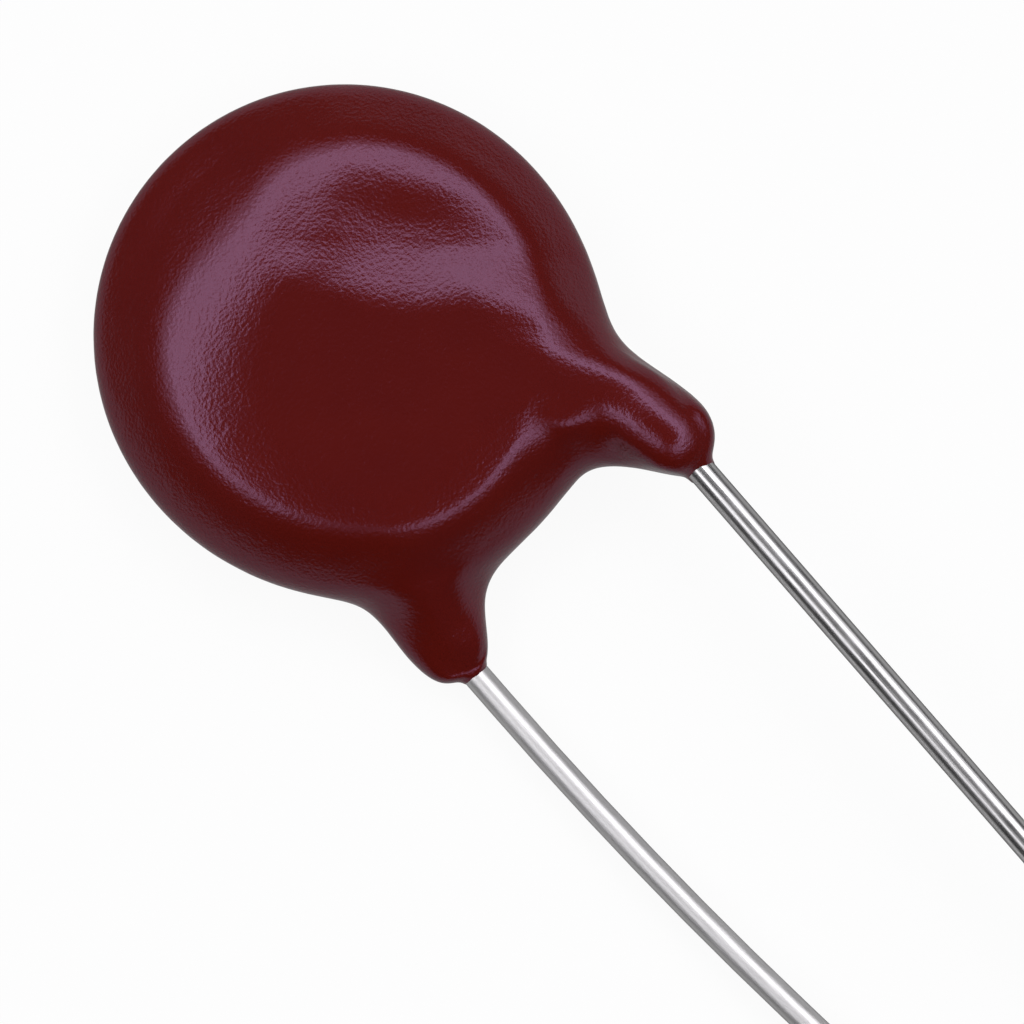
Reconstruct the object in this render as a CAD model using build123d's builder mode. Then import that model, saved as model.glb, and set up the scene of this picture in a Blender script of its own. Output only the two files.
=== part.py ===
import os
from math import atan2, cos, hypot, pi, radians, remainder, sin, tan

from build123d import *

os.makedirs("parts", exist_ok=True)

# A disc varistor: a sintered zinc oxide disc with a silver electrode fired on each face, a tinned
# copper lead soldered to each electrode, and a dipped epoxy coating over all but the leads' free runs.
# It lies on its rear face, with the leads pointing to -Y. All sizes are in millimetres and degrees.

# Zinc oxide disc and its electrodes
disc_diameter = 10.0
disc_thickness = 1.4
disc_edge_chamfer = 0.2
electrode_margin = 0.5  # from the electrode to the disc's edge
electrode_thickness = 0.02

# Leads
lead_diameter = 0.7
lead_pitch = 7.5
lead_pair_offset = 0.67  # the pair's middle lies this far from the disc's axis, towards the front lead
lead_free_length = 25.0  # from the coating to the cut end
lead_end_chamfer = 0.08
lead_overlap = 0.9  # from the disc's axis to the lead's inner end, along Y
kink_angle = 13.5  # inside the coating each lead slants towards the disc's middle
kink_depth = 0.6  # from the coating's end to the corner of the slant
rear_sway_angle = 5.5  # the rear lead's free run curves gently towards the front lead
rear_sway_radius = 111.0
rear_sway_start = 1.1

# Solder beads
solder_film = 0.05  # under the lead
solder_side = 0.35  # beside the lead
solder_length = 3.4
solder_edge_radius = 0.25
solder_inset = 0.2  # from the lead's inner end to the end of the bead

# Epoxy coating
rim_coat = 1.235  # beyond the disc's edge
lead_cover = 0.4  # over the lead, to the flat of the face
coat_run = 0.45  # how much further the coating ran towards the leads before it set
coat_run_power = 4  # a larger one keeps the run closer to the leads' side
near_fullness = 8.0  # powers of the rounding from face to rim: a larger one keeps the face flat further out
side_fullness = 4.5
far_fullness = 3.2
face_share = 0.99  # share of the rounding's height where it gives way to the flat of the face
leg_length = 2.06  # from the round rim to the end of the collar
leg_shift = 0.15  # each leg's tip lies this far outside its lead
leg_face_coat = 0.75  # from the lead to where a leg ends towards its face
leg_height_power = 4  # a larger one gives a leg with a flatter top
leg_round_coat = 0.7  # from the lead to where a leg's round back would close towards its face
leg_back_shift = 0.45  # at the flat of the face, the middle of a leg's back lies this far outside its tip
leg_web = 1.15  # from the lead towards the other face, to where the web fills half the leg's length
leg_web_power = 3  # a larger one gives a steeper web
outer_coat = {"front": 1.83, "rear": 1.33}  # beside the lead, at half the leg's height above the rim
inner_coat = {"front": 0.43, "rear": 0.77}
outer_flare_power = 4.5  # a larger one gives a blunter leg with a tighter root
inner_flare_power = 2.8
collar_length = 0.08  # thin end of the coating, beyond the leg's tip
collar_coat = 0.03
collar_root = 1.0  # from the end of the collar to its root inside the leg
collar_taper = 3.0

# Outlines of the coating
half_levels = (0.2, 0.4, 0.57, 0.71, 0.82, 0.9, 0.95, 0.98, 1)  # shares of the half thickness
flare_reach = 40.0  # outside each leg's tip the outline's points are close together over this angle
flare_count = 13
between_count = 10
far_count = 16
grading = 1.6  # a larger one brings the points closer to the tips

# Places that follow from these sizes
lead_radius = lead_diameter / 2
lead_lift = disc_thickness / 2 + electrode_thickness + solder_film + lead_radius
coat_radius = disc_diameter / 2 + rim_coat
coat_half_thickness = lead_lift + lead_radius + lead_cover
overall_length = coat_radius + coat_radius + leg_length + lead_free_length
disc_y = overall_length / 2 - coat_radius
disc_z = coat_half_thickness
exit_y = disc_y - coat_radius - leg_length
lead_seat_reach = disc_y + lead_overlap - exit_y
slant = tan(radians(kink_angle))
kink_radius = kink_depth / tan(radians(kink_angle / 2))

# The front lead is on the upper face and the +X side, the rear lead on the lower face and the -X side
sides = {"front": 1, "rear": -1}
sway_angles = {"front": 0.0, "rear": rear_sway_angle}


def lead_x(side, distance):
    # the lead's place across the part, at a distance inwards from the coating's end
    return lead_pair_offset + side * (lead_pitch / 2 - slant * max(0, distance - kink_depth))


def lead_point(side, distance):
    return (lead_x(side, distance), exit_y + distance, disc_z + side * lead_lift)


def leg_tip(name):
    # the tip of a leg as seen from the disc's axis: its angle and distance
    x = lead_pair_offset + sides[name] * (lead_pitch / 2 + leg_shift)
    y = exit_y + collar_length - disc_y
    return atan2(y, x), hypot(x, y)


def disc_reach(angle, level):
    # from the disc's axis to the coating's rounded rim
    far = sin(angle)
    fullness = side_fullness + (far_fullness - near_fullness) / 2 * far
    fullness += ((far_fullness + near_fullness) / 2 - side_fullness) * far**2
    rim = coat_radius + coat_run * ((1 - far) / 2) ** coat_run_power
    return rim * (1 - (face_share * level) ** 2) ** (1 / fullness)


def leg_share(name, angle, level):
    # how much of the way from the rim to the leg's tip the coating fills: 1 at the tip, 0 away from the leg
    side = sides[name]
    tip_angle, tip_reach = leg_tip(name)
    across = remainder(angle - tip_angle, 2 * pi) * tip_reach * side
    outwards = side * coat_half_thickness * level - lead_lift
    if outwards > 0:
        # a rounded back, over the lead
        height = 1 - (outwards / (lead_radius + leg_face_coat)) ** leg_height_power
        width = (1 - (outwards / (lead_radius + leg_round_coat)) ** 2) ** 0.5
        across -= leg_back_shift * (outwards / (lead_radius + lead_cover)) ** 2
    else:
        # a sloping web, from the lead to the far side of the rim
        height = 1 / (1 + (-outwards / leg_web) ** leg_web_power)
        width = 1
    if across > 0:
        flare = (across / width / (lead_radius + outer_coat[name])) ** outer_flare_power
    else:
        flare = (-across / width / (lead_radius + inner_coat[name])) ** inner_flare_power
    return height / (1 + flare)


def coat_point(angle, level):
    # a point of the coating's outline, at a level from -1 on the rear face to 1 on the front face
    reach = disc_reach(angle, level)
    for name in sides:
        reach += leg_share(name, angle, level) * (leg_tip(name)[1] - reach)
    return Vector(reach * cos(angle), reach * sin(angle))


def graded(reach, count):
    # steps from 0 to the reach that start small
    return [reach * (step / count) ** grading for step in range(count + 1)]


# Zinc oxide disc
with BuildPart() as ceramic_disc:
    with BuildSketch(Plane((0, disc_y, disc_z - disc_thickness / 2))):
        Circle(disc_diameter / 2)
    extrude(amount=disc_thickness)
    chamfer(ceramic_disc.edges().filter_by(GeomType.CIRCLE), disc_edge_chamfer)
ceramic_disc.part.label = "ceramic_disc"
export_step(ceramic_disc.part, "parts/ceramic_disc.step")

inner_parts = [ceramic_disc.part]

for name, side in sides.items():
    # Silver electrode
    face_z = disc_z + side * disc_thickness / 2
    with BuildPart() as electrode:
        with BuildSketch(Plane((0, disc_y, face_z))):
            Circle(disc_diameter / 2 - electrode_margin)
        extrude(amount=side * electrode_thickness)
    electrode.part.label = f"{name}_electrode"
    export_step(electrode.part, f"parts/{name}_electrode.step")

    # Tinned copper lead, from its seat on the electrode to its cut end
    sway = tan(radians(sway_angles[name]))
    route = [lead_point(side, lead_seat_reach), lead_point(side, kink_depth)]
    radii = [kink_radius]
    end_x, end_y, end_z = lead_point(side, -lead_free_length)
    if sway:
        sway_corner = rear_sway_start + rear_sway_radius * tan(radians(sway_angles[name] / 2))
        route.append(lead_point(side, -sway_corner))
        radii.append(rear_sway_radius)
        end_x -= side * sway * (lead_free_length - sway_corner)
    route.append((end_x, end_y, end_z))
    with BuildPart() as lead:
        with BuildLine() as path:
            FilletPolyline(*route, radius=radii)
        with BuildSketch(Plane(origin=path.wire() @ 0, z_dir=path.wire() % 0)):
            Circle(lead_radius)
        sweep(path=path.wire())
        chamfer(lead.faces().sort_by(Axis.Y)[0].edges(), lead_end_chamfer)
    lead.part.label = f"{name}_lead"
    export_step(lead.part, f"parts/{name}_lead.step")

    # Solder bead round the lead's inner end, up to the lead's axis
    bead_distance = lead_seat_reach - solder_inset - solder_length / 2
    bead_plane = Plane(
        (lead_x(side, bead_distance), exit_y + bead_distance, face_z + side * electrode_thickness),
        x_dir=(-side * slant, 1, 0),
        z_dir=(0, 0, side),
    )
    with BuildPart() as solder:
        with BuildSketch(bead_plane):
            SlotOverall(solder_length, lead_diameter + 2 * solder_side)
        extrude(amount=solder_film + lead_radius)
        fillet(solder.faces().sort_by(Axis.Z, reverse=side < 0)[-1].edges(), solder_edge_radius)
        add(lead.part, mode=Mode.SUBTRACT)
    solder.part.label = f"{name}_solder"
    export_step(solder.part, f"parts/{name}_solder.step")

    inner_parts += [electrode.part, lead.part, solder.part]

# Angles of the points of the coating's outlines, all the way round from the front leg's tip
front_angle = leg_tip("front")[0]
rear_angle = leg_tip("rear")[0] + 2 * pi
outer_steps = graded(radians(flare_reach), flare_count)
inner_steps = graded((front_angle + 2 * pi - rear_angle) / 2, between_count)
far_start = front_angle + outer_steps[-1]
far_end = rear_angle - outer_steps[-1]
angles = [front_angle + step for step in outer_steps]
angles += [far_start + (far_end - far_start) * step / far_count for step in range(1, far_count)]
angles += [rear_angle - step for step in reversed(outer_steps)]
angles += [rear_angle + step for step in inner_steps[1:]]
angles += [front_angle + 2 * pi - step for step in reversed(inner_steps[1:-1])]
turns = [(angle - front_angle) / (2 * pi) for angle in angles] + [1]

# Epoxy coating: one skin through outlines from the rear face to the front face, each of them a round disc
# that runs out into the legs, and a thin tapered collar round each lead
with BuildPart() as coating:
    for level in [-share for share in reversed(half_levels)] + [0, *half_levels]:
        with BuildSketch(Plane((0, disc_y, disc_z + coat_half_thickness * level))):
            with BuildLine():
                outline = [coat_point(angle, level) for angle in angles]
                add(Edge.make_spline(outline, periodic=True, parameters=turns))
            make_face()
    loft()
    for side in sides.values():
        with BuildSketch(Plane(lead_point(side, 0), x_dir=(1, 0, 0), z_dir=(0, 1, 0))):
            Circle(lead_radius + collar_coat)
        extrude(amount=collar_root, taper=-collar_taper)
    for inner in inner_parts:
        add(inner, mode=Mode.SUBTRACT)
coating.part.label = "coating"
export_step(coating.part, "parts/coating.step")
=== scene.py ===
import math

import bpy
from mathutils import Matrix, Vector


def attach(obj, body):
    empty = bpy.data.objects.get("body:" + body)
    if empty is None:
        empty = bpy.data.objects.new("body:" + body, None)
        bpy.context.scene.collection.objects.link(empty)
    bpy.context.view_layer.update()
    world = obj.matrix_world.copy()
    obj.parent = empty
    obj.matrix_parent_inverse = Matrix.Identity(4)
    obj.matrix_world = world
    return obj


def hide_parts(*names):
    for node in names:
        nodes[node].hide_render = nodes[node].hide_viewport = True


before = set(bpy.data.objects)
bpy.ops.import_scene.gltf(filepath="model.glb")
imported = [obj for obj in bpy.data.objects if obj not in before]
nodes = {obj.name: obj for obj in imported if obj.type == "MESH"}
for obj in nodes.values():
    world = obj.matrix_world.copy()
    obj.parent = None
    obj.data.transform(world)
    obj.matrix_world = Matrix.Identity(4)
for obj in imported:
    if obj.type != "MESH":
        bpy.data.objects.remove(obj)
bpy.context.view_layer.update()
mm = 0.001


def linear(hexColour):  # sRGB hex to the linear colour that the shaders take
    parts = [int(hexColour[i:i + 2], 16) / 255 for i in (1, 3, 5)]
    return tuple(p / 12.92 if p <= 0.04045 else ((p + 0.055) / 1.055) ** 2.4 for p in parts) + (1.0,)


def perMm(size):  # texture scale for a feature of that many millimetres, on Object coordinates in metres
    return 1 / (size * mm)


def addNode(tree, kind, settings={}, inputs={}):  # one node with its settings, values and links
    node = tree.nodes.new(kind)
    for name, value in settings.items():
        setattr(node, name, value)
    for name, value in inputs.items():
        if isinstance(value, bpy.types.NodeSocket):
            tree.links.new(value, node.inputs[name])
        else:
            node.inputs[name].default_value = value
    return node


def newMaterial(name):
    material = bpy.data.materials.new(name)
    material.use_nodes = True
    return material, material.node_tree, material.node_tree.nodes["Principled BSDF"]


def dress(piece, material):
    piece.data.materials.clear()
    piece.data.materials.append(material)


def only(piece):  # makes one piece the only selected and active one
    bpy.ops.object.select_all(action='DESELECT')
    piece.select_set(True)
    bpy.context.view_layer.objects.active = piece


# camera: straight above, turned so that the leads run down to the right
cameraSetup = {"aim": (0.26, 7.52, 1.87), "frameWidth": 25.30, "lens": 150.0, "sensor": 36, "turn": -41.0}
cameraTurn = math.radians(cameraSetup["turn"])
distance = cameraSetup["frameWidth"] * cameraSetup["lens"] / cameraSetup["sensor"]
aim = Vector(cameraSetup["aim"]) * mm
bpy.ops.object.camera_add(location=aim + Vector((0, 0, distance * mm)), rotation=(0, 0, cameraTurn))
camera = bpy.context.active_object
camera.name = "copyStandCamera"
camera.data.lens = cameraSetup["lens"]
camera.data.sensor_width = cameraSetup["sensor"]
camera.data.clip_start = 0.005
camera.data.clip_end = 5
bpy.context.scene.camera = camera
bpy.context.scene.view_settings.view_transform = 'Standard'
print("camera set")

# light tent: a ring of softboxes round the camera's opening, weaker on the photographer's side, with one dark gap
tent = {"zenith": 0.04, "ring": 3.05, "ringOuter": 1.1, "horizon": 0.05, "tint": (0.98, 0.97, 1.0, 1.0),
        "weakSide": 0.5, "strength": 4.0, "gap": 101, "gapStrength": 0.6}
# degrees from straight up and the light there; the photographer's side lacks the outer glow
innerStops = ((0, tent["zenith"]), (22, tent["zenith"]), (29, tent["ring"]), (40, tent["ring"]))
outerStops = {"full": ((47, tent["ringOuter"]), (56, tent["ringOuter"]), (63, tent["horizon"])),
              "low": ((50, tent["horizon"]),)}
world = bpy.data.worlds.new("lightTent")
bpy.context.scene.world = world
world.use_nodes = True
wt = world.node_tree
wt.nodes.clear()
sky = addNode(wt, 'ShaderNodeTexCoord')
height = addNode(wt, 'ShaderNodeSeparateXYZ', {}, {"Vector": sky.outputs["Generated"]})
tilt = addNode(wt, 'ShaderNodeMath', {"operation": 'ARCCOSINE'}, {0: height.outputs["Z"]})
tiltShare = addNode(wt, 'ShaderNodeMath', {"operation": 'DIVIDE'}, {0: tilt.outputs[0], 1: math.pi})
rings = {}
for name in outerStops:
    rings[name] = addNode(wt, 'ShaderNodeValToRGB', {}, {"Fac": tiltShare.outputs[0]})
    marks = innerStops + outerStops[name]
    while len(rings[name].color_ramp.elements) < len(marks):
        rings[name].color_ramp.elements.new(0.5)
    for mark, (angle, light) in zip(rings[name].color_ramp.elements, marks):
        mark.position = angle / 180
        mark.color = (light / tent["strength"],) * 3 + (1,)  # a ramp ends at 1, so the strength is given back below
pictureUp = (-math.sin(cameraTurn), math.cos(cameraTurn), 0)
upness = addNode(wt, 'ShaderNodeVectorMath', {"operation": 'DOT_PRODUCT'},
                 {0: sky.outputs["Generated"], 1: pictureUp})
side = addNode(wt, 'ShaderNodeMapRange', {"interpolation_type": 'SMOOTHSTEP'},
               {"Value": upness.outputs["Value"], "From Min": -0.62, "From Max": -0.05,
                "To Min": tent["weakSide"], "To Max": 1.0})
upper = addNode(wt, 'ShaderNodeMapRange', {"interpolation_type": 'SMOOTHSTEP'},
                {"Value": upness.outputs["Value"], "From Min": -0.45, "From Max": 0.0})
ring = addNode(wt, 'ShaderNodeMix', {"data_type": 'RGBA'},
               {"Factor": upper.outputs["Result"], 6: rings["low"].outputs["Color"],
                7: rings["full"].outputs["Color"]})
flat = addNode(wt, 'ShaderNodeVectorMath', {"operation": 'MULTIPLY'}, {0: sky.outputs["Generated"], 1: (1, 1, 0)})
compass = addNode(wt, 'ShaderNodeVectorMath', {"operation": 'NORMALIZE'}, {0: flat.outputs["Vector"]})
gapTurn = math.radians(cameraSetup["turn"] - tent["gap"])  # the gap is given clockwise from the picture's right
gapNear = addNode(wt, 'ShaderNodeVectorMath', {"operation": 'DOT_PRODUCT'},
                  {0: compass.outputs["Vector"], 1: (math.cos(gapTurn), math.sin(gapTurn), 0)})
gap = addNode(wt, 'ShaderNodeMapRange', {"interpolation_type": 'SMOOTHSTEP'},
              {"Value": gapNear.outputs["Value"], "From Min": 0.905, "From Max": 0.972,
               "To Min": tent["strength"], "To Max": tent["gapStrength"]})
strength = addNode(wt, 'ShaderNodeMath', {"operation": 'MULTIPLY'},
                   {0: side.outputs["Result"], 1: gap.outputs["Result"]})
tinted = addNode(wt, 'ShaderNodeMix', {"data_type": 'RGBA', "blend_type": 'MULTIPLY'},
                 {"Factor": 1.0, 6: ring.outputs[2], 7: tent["tint"]})
tentLight = addNode(wt, 'ShaderNodeBackground', {}, {"Color": tinted.outputs[2], "Strength": strength.outputs[0]})
white = addNode(wt, 'ShaderNodeBackground', {}, {"Color": (1, 1, 1, 1), "Strength": 1.0})
worldRay = addNode(wt, 'ShaderNodeLightPath')
seen = addNode(wt, 'ShaderNodeMixShader', {},
               {"Fac": worldRay.outputs["Is Camera Ray"], 1: tentLight.outputs[0], 2: white.outputs[0]})
addNode(wt, 'ShaderNodeOutputWorld', {}, {"Surface": seen.outputs[0]})
print("light set")

# white ground that keeps a faint shadow and is dimmer in reflections
groundSetup = {"size": 0.6, "grey": 0.85, "mirrored": 0.4, "glow": 0.93}
bpy.ops.object.select_all(action='DESELECT')
bpy.ops.mesh.primitive_plane_add(size=groundSetup["size"])
ground = bpy.context.active_object
ground.name = "whiteGround"
paper = bpy.data.materials.new("whitePaper")
paper.use_nodes = True
pt = paper.node_tree
pt.nodes.clear()
matte = addNode(pt, 'ShaderNodeBsdfDiffuse', {}, {"Color": (groundSetup["grey"],) * 3 + (1,)})
groundRay = addNode(pt, 'ShaderNodeLightPath')
dimmed = addNode(pt, 'ShaderNodeMapRange', {},
                 {"Value": groundRay.outputs["Is Glossy Ray"], "To Min": 1.0, "To Max": groundSetup["mirrored"]})
glow = addNode(pt, 'ShaderNodeEmission', {}, {"Color": (1, 1, 1, 1), "Strength": dimmed.outputs["Result"]})
direct = addNode(pt, 'ShaderNodeMath', {"operation": 'ADD', "use_clamp": True},
                 {0: groundRay.outputs["Is Camera Ray"], 1: groundRay.outputs["Is Glossy Ray"]})
anySight = addNode(pt, 'ShaderNodeMath', {"operation": 'ADD', "use_clamp": True},
                   {0: direct.outputs[0], 1: groundRay.outputs["Is Transmission Ray"]})
glowShare = addNode(pt, 'ShaderNodeMath', {"operation": 'MULTIPLY'}, {0: anySight.outputs[0], 1: groundSetup["glow"]})
mixed = addNode(pt, 'ShaderNodeMixShader', {}, {"Fac": glowShare.outputs[0], 1: matte.outputs[0], 2: glow.outputs[0]})
addNode(pt, 'ShaderNodeOutputMaterial', {}, {"Surface": mixed.outputs[0]})
dress(ground, paper)
print("ground set")

# dipped epoxy: dark red, satin gloss, a fine orange peel that breaks up the highlights, and a painted lilac tint on
# those highlights
epoxyLook = {"deep": "#55110c", "warm": "#5f150d", "cloud": 2.4, "paintedLilacSheen": "#eec6ff", "roughness": 0.18, "ior": 1.55,
             "wave": 0.9, "waveDepth": 0.012, "peel": 0.09, "peelDepth": 0.0115}
epoxy, et, skin = newMaterial("dippedEpoxy")
place = addNode(et, 'ShaderNodeTexCoord')
cloud = addNode(et, 'ShaderNodeTexNoise', {},
                {"Vector": place.outputs["Object"], "Scale": perMm(epoxyLook["cloud"]), "Detail": 3.0})
tone = addNode(et, 'ShaderNodeMix', {"data_type": 'RGBA'},
               {"Factor": cloud.outputs["Fac"], 6: linear(epoxyLook["deep"]), 7: linear(epoxyLook["warm"])})
peel = addNode(et, 'ShaderNodeTexNoise', {},
               {"Vector": place.outputs["Object"], "Scale": perMm(epoxyLook["peel"]), "Detail": 2.0})
wave = addNode(et, 'ShaderNodeTexNoise', {},
               {"Vector": place.outputs["Object"], "Scale": perMm(epoxyLook["wave"]), "Detail": 1.0})
waveBump = addNode(et, 'ShaderNodeBump', {},
                   {"Height": wave.outputs["Fac"], "Distance": epoxyLook["waveDepth"] * mm, "Strength": 1.0})
peelBump = addNode(et, 'ShaderNodeBump', {},
                   {"Height": peel.outputs["Fac"], "Distance": epoxyLook["peelDepth"] * mm, "Strength": 1.0,
                    "Normal": waveBump.outputs["Normal"]})
et.links.new(tone.outputs[2], skin.inputs["Base Color"])
et.links.new(peelBump.outputs["Normal"], skin.inputs["Normal"])
skin.inputs["Roughness"].default_value = epoxyLook["roughness"]
# painted highlight colour: the lilac of the highlights is set in the epoxy's reflection, while the lights stay near
# white
skin.inputs["Specular Tint"].default_value = linear(epoxyLook["paintedLilacSheen"])
skin.inputs["IOR"].default_value = epoxyLook["ior"]
print("epoxy set")

# coating: the outer skin of the solid, remeshed and eased, then pressed to the uneven face of a dipped part
# forms are in mm and degrees from the disc's axis and middle plane, with y away from the leads
coatSetup = {
    "merge": 0.0005, "touch": 0.01, "grain": 0.075, "ease": 12, "discY": 13.53, "midZ": 1.87, "face": (-1.2, 1.4),
    "farSlope": {"from": (30, 88), "to": (95, 190), "reach": (1.6, 5.4), "depth": 0.40},
    "band": {"turn": 39, "middle": 1.96, "half": 0.92, "bend": 0.42, "bendSpan": (-3.2, -1.2), "endSpan": (-0.8, 1.3),
             "endShift": 0.08, "endNarrow": 0.24, "endWeaken": 0.55, "fade": (1.0, 2.8), "depth": 0.275},
    "trough": {"across": (3.0, 0.7), "along": (-1.0, 1.7), "depth": 0.08},
    "rim": {"start": 4.9, "lean": 0.25, "leanTurn": -25, "farDip": 0.85, "far": (95, 30), "nearLift": 0.4,
            "near": (-98, 32), "tongue": (-53.5, 16), "before": 0.4, "foot": 6.1, "depth": 0.4},
    "tongueSides": {"root": (3.8, -4.2), "run": (0.65, -2.5), "half": 0.68, "narrowing": 0.4, "depth": 0.3},
    "webFill": {"at": (2.95, -4.85), "width": 0.85, "fullness": 1.4, "top": 1.83, "rise": 0.9},
    "finger": {"root": (3.75, -4.0), "run": (0.62, -3.1), "radius": 1.5, "taper": 0.44, "top": 1.87, "rise": 0.15},
    "rearFill": {"turn": 112, "from": 6.4, "top": 0.895, "slope": 0.645},
    "rearTrim": {"turn": 110, "reach": (8.5, 0.32), "depth": 0.11},
    "tips": {"rear": 1.0, "front": 0.5, "length": 0.25},
    "soften": {"rearLeg": 40, "frontNose": 15, "frontWeb": 45, "frontCrease": 80},
}
skinMesh = nodes["coating"].data.copy()
coat = bpy.data.objects.new("coatingSkin", skinMesh)
bpy.context.scene.collection.objects.link(coat)
only(coat)
hidden = [nodes[name] for name in nodes if name != "coating"]
bpy.ops.object.mode_set(mode='EDIT')
bpy.ops.mesh.select_all(action='SELECT')
bpy.ops.mesh.remove_doubles(threshold=coatSetup["merge"] * mm)
bpy.ops.mesh.select_all(action='DESELECT')
bpy.ops.object.mode_set(mode='OBJECT')
touch = coatSetup["touch"] * mm
for corner in skinMesh.vertices:  # the walls against the disc, solder and leads are left out of the skin
    corner.select = any(inner.closest_point_on_mesh(corner.co, distance=touch)[0] for inner in hidden)
bpy.ops.object.mode_set(mode='EDIT')
bpy.ops.mesh.delete(type='VERT')
bpy.ops.mesh.select_all(action='SELECT')
bpy.ops.mesh.fill_holes(sides=0)
bpy.ops.object.mode_set(mode='OBJECT')
remesh = coat.modifiers.new("remesh", 'REMESH')
remesh.mode = 'VOXEL'
remesh.voxel_size = coatSetup["grain"] * mm
bpy.ops.object.modifier_apply(modifier="remesh")
ease = coat.modifiers.new("ease", 'SMOOTH')
ease.factor = 0.5
ease.iterations = coatSetup["ease"]
bpy.ops.object.modifier_apply(modifier="ease")
print("skin set")


def smooth(value, low, high):  # 0 below low, 1 above high, eased between
    t = min(1, max(0, (value - low) / (high - low)))
    return t * t * (3 - 2 * t)


def bell(value, middle, width):  # 1 at the middle, fading to both sides
    return math.exp(-((value - middle) / width) ** 2)


def alongLine(x, y, root, run):  # share of the way along a line, and the distance from it
    along = min(1, max(0, ((x - root[0]) * run[0] + (y - root[1]) * run[1]) / (run[0] ** 2 + run[1] ** 2)))
    return along, math.hypot(x - root[0] - run[0] * along, y - root[1] - run[1] * along)


def weigh(name, weight, whole):  # a vertex group by place, on the upper side or on the whole
    group = coat.vertex_groups.new(name=name)
    for corner in coat.data.vertices:
        x, y, z = corner.co.x / mm, corner.co.y / mm - coatSetup["discY"], corner.co.z / mm - coatSetup["midZ"]
        share = 1 if whole else smooth(z, *coatSetup["face"])
        if share > 0:
            group.add([corner.index], weight(x, y, z) * share, 'REPLACE')


def press(name, weight, depth, axis='Z', whole=False):  # moves the skin back along an axis by depth mm times the weight
    weigh(name, weight, whole)
    sink = coat.modifiers.new(name, 'DISPLACE')
    sink.vertex_group = name
    sink.direction = axis
    sink.mid_level = 0
    sink.strength = -depth * mm
    bpy.ops.object.modifier_apply(modifier=name)


def soften(name, weight):  # evens out one region
    weigh(name, weight, True)
    even = coat.modifiers.new(name, 'SMOOTH')
    even.vertex_group = name
    even.factor = 0.5
    even.iterations = coatSetup["soften"][name]
    bpy.ops.object.modifier_apply(modifier=name)


def farSlope(x, y, z):  # the face falls away early towards the far end and, less, to the left of it
    form, turn = coatSetup["farSlope"], math.degrees(math.atan2(y, x))
    window = smooth(turn, *form["from"]) * (1 - smooth(turn, *form["to"])) if turn > 0 else 0
    return window * smooth(math.hypot(x, y), *form["reach"])


def bandPlace(x, y):  # places across and along the step
    turn = math.radians(coatSetup["band"]["turn"])
    return x * math.cos(turn) + y * math.sin(turn), -x * math.sin(turn) + y * math.cos(turn)


def band(x, y, z):  # past the lead's inner end and its solder the face steps down
    form, (across, along) = coatSetup["band"], bandPlace(x, y)
    end = smooth(along, *form["endSpan"])
    middle = form["middle"] - form["bend"] * smooth(along, *form["bendSpan"]) - form["endShift"] * end
    half = form["half"] - form["endNarrow"] * end
    fall = smooth(across, middle - half, middle + half) * (1 - form["endWeaken"] * end)
    return fall * (1 - smooth(along, *form["fade"]))


def trough(x, y, z):  # a shallow hollow along the foot of the step
    form, (across, along) = coatSetup["trough"], bandPlace(x, y)
    return bell(across, *form["across"]) * bell(along, *form["along"])


def rim(x, y, z):  # a firm edge where the face turns down to the rim, open towards the front leg
    form, turn = coatSetup["rim"], math.degrees(math.atan2(y, x))
    start = form["start"] + form["lean"] * math.cos(math.radians(turn - form["leanTurn"]))
    start += form["nearLift"] * bell(turn, *form["near"]) - form["farDip"] * bell(turn, *form["far"])
    fall = smooth(math.hypot(x, y), start - form["before"], max(form["foot"], start + 1))
    return fall * (1 - bell(turn, *form["tongue"]))


def tongueSides(x, y, z):  # the back of the front leg is narrow, with firm shoulders
    form = coatSetup["tongueSides"]
    along, away = alongLine(x, y, form["root"], form["run"])
    half = form["half"] - form["narrowing"] * along
    near = (1 - smooth(y, -5.2, -4.2)) * smooth(x, 1.5, 3.0) * smooth(y, -7.3, -6.5)
    return smooth(away, half - 0.1, half + 0.8) * near


def webFill(x, y, z):  # the corner between the disc and the front leg's back is filled
    form = coatSetup["webFill"]
    near = form["fullness"] * bell(math.dist((x, y), form["at"]), 0, form["width"])
    return min(1, near) * min(1, max(0, form["top"] - z))


def fingerTop(x, y):  # height of a round finger over the front lead, and shares of the way along and across it
    form = coatSetup["finger"]
    along, away = alongLine(x, y, form["root"], form["run"])
    radius = form["radius"] - form["taper"] * along
    bow = min(away, 0.92 * radius)
    top = form["top"] + form["rise"] * smooth(along, 0.2, 1)
    return top - radius + math.sqrt(radius ** 2 - bow ** 2), along, away / radius


def fingerFill(x, y, z):  # the coating closes over the front lead up to the leg's end
    top, along, away = fingerTop(x, y)
    return smooth(along, 0.2, 0.8) * (1 - smooth(away, 0.8, 1)) * max(0, top - z) * smooth(z, 0.9, 1.2)


def fingerTrim(x, y, z):  # what stands over the finger is taken down to it
    top, along, away = fingerTop(x, y)
    return smooth(along, 0.4, 0.8) * (1 - smooth(away, 0.5, 0.85)) * max(0, z - top) * smooth(y, -7.9, -7.5)


def rearPlace(x, y, turn):  # distance from the disc's axis, and from the rear leg's middle
    reach = math.hypot(x, y)
    return reach, abs((math.atan2(y, x) + math.radians(turn)) * reach)


def rearFill(x, y, z):  # the rear leg falls away evenly from the rim to its end
    form = coatSetup["rearFill"]
    reach, away = rearPlace(x, y, form["turn"])
    near = smooth(reach, 6.2, 6.6) * (1 - smooth(away, 0.1, 1.1))
    return near * max(0, form["top"] - form["slope"] * (reach - form["from"]) - z) * smooth(z, -0.9, -0.5)


def rearTrim(x, y, z):  # its end is a little lower
    form = coatSetup["rearTrim"]
    reach, away = rearPlace(x, y, form["turn"])
    return bell(reach, *form["reach"]) * (1 - smooth(away, 0.5, 1.1)) * smooth(z, -0.75, -0.55)


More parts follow.
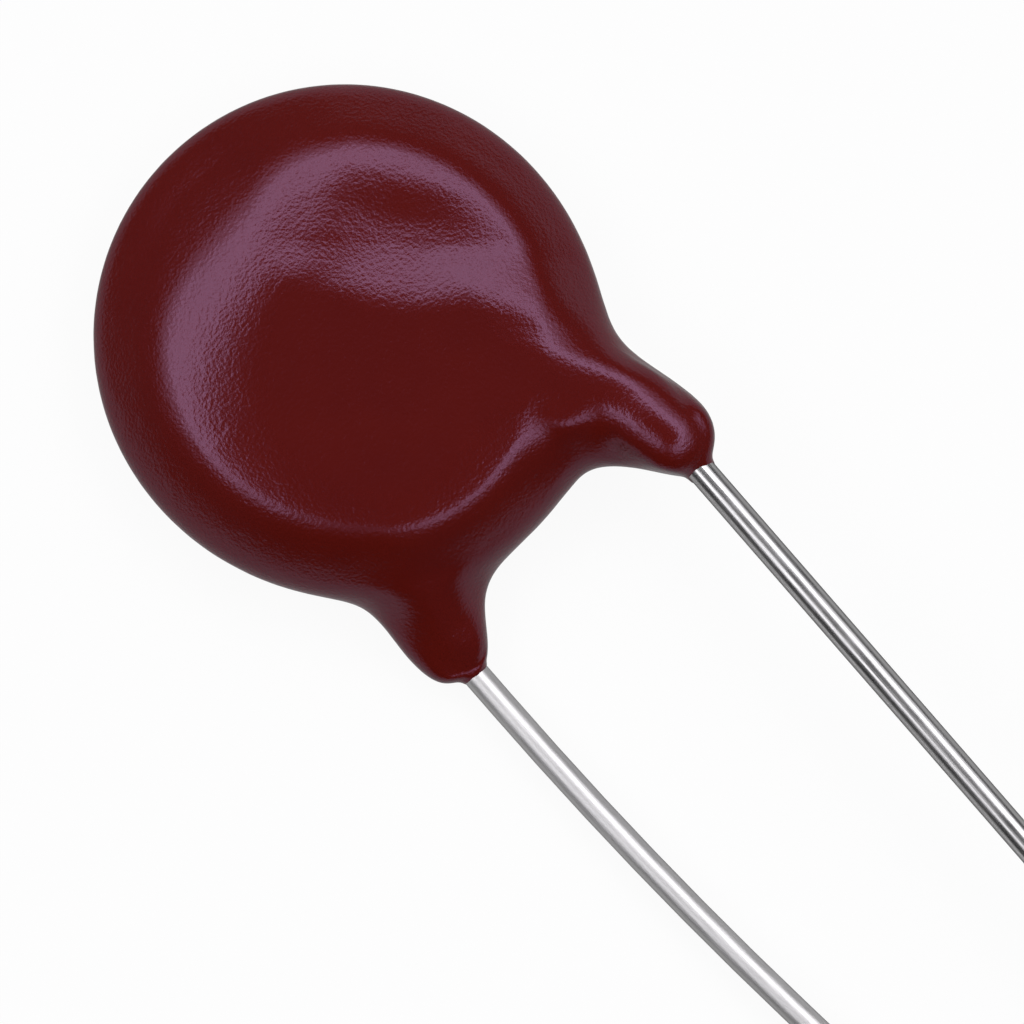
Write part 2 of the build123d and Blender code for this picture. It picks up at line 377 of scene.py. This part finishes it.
def tips(x, y, z):  # both ends are drawn out along the leads
    return (1 - smooth(y, -8.1, -7.1)) * coatSetup["tips"]["rear" if x < 1 else "front"]


for form in (farSlope, band, trough, rim, tongueSides):
    press(form.__name__, form, coatSetup[form.__name__]["depth"])
press("webFill", webFill, -coatSetup["webFill"]["rise"])
press("fingerFill", fingerFill, -1, whole=True)  # these weights are heights in mm already
press("fingerTrim", fingerTrim, 1, whole=True)
press("rearFill", rearFill, -1, whole=True)
press("rearTrim", rearTrim, coatSetup["rearTrim"]["depth"], whole=True)
press("tips", tips, coatSetup["tips"]["length"], axis='Y', whole=True)
print("forms pressed")


def rearLeg(x, y, z):  # from the rim to the rear leg's end
    span = (1 - smooth(y, -6.6, -5.6)) * smooth(y, -8.2, -7.4)
    return span * (1 - smooth(x, -1.8, -1.0)) * smooth(z, -1.1, -0.7)


def frontNose(x, y, z):  # the finger's end
    return (1 - smooth(y, -7.0, -6.4)) * smooth(x, 2.6, 3.2) * smooth(z, 1.0, 1.3)


def frontWeb(x, y, z):  # the filled corner
    return bell(math.dist((x, y), (3.0, -4.8)), 0, 0.9) * smooth(z, 0.3, 0.8)


def frontCrease(x, y, z):  # where the finger's inner side meets the leg
    near = min(1, 1.5 * bell(x, 3.25, 0.55) * bell(y, -6.3, 0.9))
    return near * smooth(z, 0.1, 0.5) * (1 - smooth(z, 1.5, 1.7))


for region in (rearLeg, frontNose, frontWeb, frontCrease):
    soften(region.__name__, region)
bpy.ops.object.shade_smooth()
dress(coat, epoxy)
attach(coat, "root")
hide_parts("coating")
print("coating set", len(coat.data.polygons))

# tinned copper wire: bright with fine drawn lines along it, the rear one a little more matte and painted a lighter tin
# for a brighter reflection
wireLook = {"line": 0.06, "stretch": 0.02, "lineDepth": 0.004, "patch": 1.3, "edge": "#48484a",
            "front": ("#e0dfdf", 0.27), "rear": ("#f2f1f1", 0.47)}


def tinnedWire(name, colour, roughness):
    tin, tt, wire = newMaterial(name)
    place = addNode(tt, 'ShaderNodeTexCoord')
    along = addNode(tt, 'ShaderNodeMapping', {},
                    {"Vector": place.outputs["Object"], "Scale": (1.0, wireLook["stretch"], 1.0)})
    lines = addNode(tt, 'ShaderNodeTexNoise', {},
                    {"Vector": along.outputs["Vector"], "Scale": perMm(wireLook["line"]), "Detail": 3.0})
    lineBump = addNode(tt, 'ShaderNodeBump', {},
                       {"Height": lines.outputs["Fac"], "Distance": wireLook["lineDepth"] * mm, "Strength": 1.0})
    patch = addNode(tt, 'ShaderNodeTexNoise', {},
                    {"Vector": place.outputs["Object"], "Scale": perMm(wireLook["patch"]), "Detail": 2.0})
    dull = addNode(tt, 'ShaderNodeMapRange', {},
                   {"Value": patch.outputs["Fac"], "From Min": 0.3, "From Max": 0.7,
                    "To Min": roughness - 0.04, "To Max": roughness + 0.05})
    tt.links.new(lineBump.outputs["Normal"], wire.inputs["Normal"])
    tt.links.new(dull.outputs["Result"], wire.inputs["Roughness"])
    wire.inputs["Base Color"].default_value = linear(colour)
    wire.inputs["Specular Tint"].default_value = linear(wireLook["edge"])  # painted shade: darker towards the edges, for the dark reflections along the wire's sides
    wire.inputs["Metallic"].default_value = 1.0
    return tin


dress(nodes["front_lead"], tinnedWire("tinnedCopperWire", *wireLook["front"]))
dress(nodes["rear_lead"], tinnedWire("tinnedCopperWireMatte", *wireLook["rear"]))

# sintered zinc oxide: matte dark grey with a fine grain
ceramicLook = {"dark": "#3f3f3d", "pale": "#4a4a47", "grain": 0.08, "roughness": 0.75}
ceramic, ct, grains = newMaterial("zincOxideCeramic")
place = addNode(ct, 'ShaderNodeTexCoord')
grain = addNode(ct, 'ShaderNodeTexVoronoi', {},
                {"Vector": place.outputs["Object"], "Scale": perMm(ceramicLook["grain"])})
grey = addNode(ct, 'ShaderNodeMix', {"data_type": 'RGBA'},
               {"Factor": grain.outputs["Distance"], 6: linear(ceramicLook["dark"]), 7: linear(ceramicLook["pale"])})
ct.links.new(grey.outputs[2], grains.inputs["Base Color"])
grains.inputs["Roughness"].default_value = ceramicLook["roughness"]
dress(nodes["ceramic_disc"], ceramic)

# fired silver: pale, matte, a little cloudy
silverLook = {"colour": "#e7e5e0", "cloud": 0.4, "bright": 0.45, "dull": 0.65}
silver, st, paste = newMaterial("firedSilver")
place = addNode(st, 'ShaderNodeTexCoord')
cloudy = addNode(st, 'ShaderNodeTexNoise', {},
                 {"Vector": place.outputs["Object"], "Scale": perMm(silverLook["cloud"]), "Detail": 4.0})
matteness = addNode(st, 'ShaderNodeMapRange', {},
                    {"Value": cloudy.outputs["Fac"], "From Min": 0.3, "From Max": 0.7,
                     "To Min": silverLook["bright"], "To Max": silverLook["dull"]})
st.links.new(matteness.outputs["Result"], paste.inputs["Roughness"])
paste.inputs["Base Color"].default_value = linear(silverLook["colour"])
paste.inputs["Metallic"].default_value = 1.0

# solder: satin grey metal with soft ripples
solderLook = {"colour": "#cbcbcb", "ripple": 0.3, "rippleDepth": 0.02, "roughness": 0.35}
solder, ot, bead = newMaterial("satinSolder")
place = addNode(ot, 'ShaderNodeTexCoord')
ripple = addNode(ot, 'ShaderNodeTexNoise', {},
                 {"Vector": place.outputs["Object"], "Scale": perMm(solderLook["ripple"]), "Detail": 2.0})
rippleBump = addNode(ot, 'ShaderNodeBump', {},
                     {"Height": ripple.outputs["Fac"], "Distance": solderLook["rippleDepth"] * mm, "Strength": 1.0})
ot.links.new(rippleBump.outputs["Normal"], bead.inputs["Normal"])
bead.inputs["Base Color"].default_value = linear(solderLook["colour"])
bead.inputs["Metallic"].default_value = 1.0
bead.inputs["Roughness"].default_value = solderLook["roughness"]
for end in ("front", "rear"):
    dress(nodes[end + "_electrode"], silver)
    dress(nodes[end + "_solder"], solder)
print("materials set")
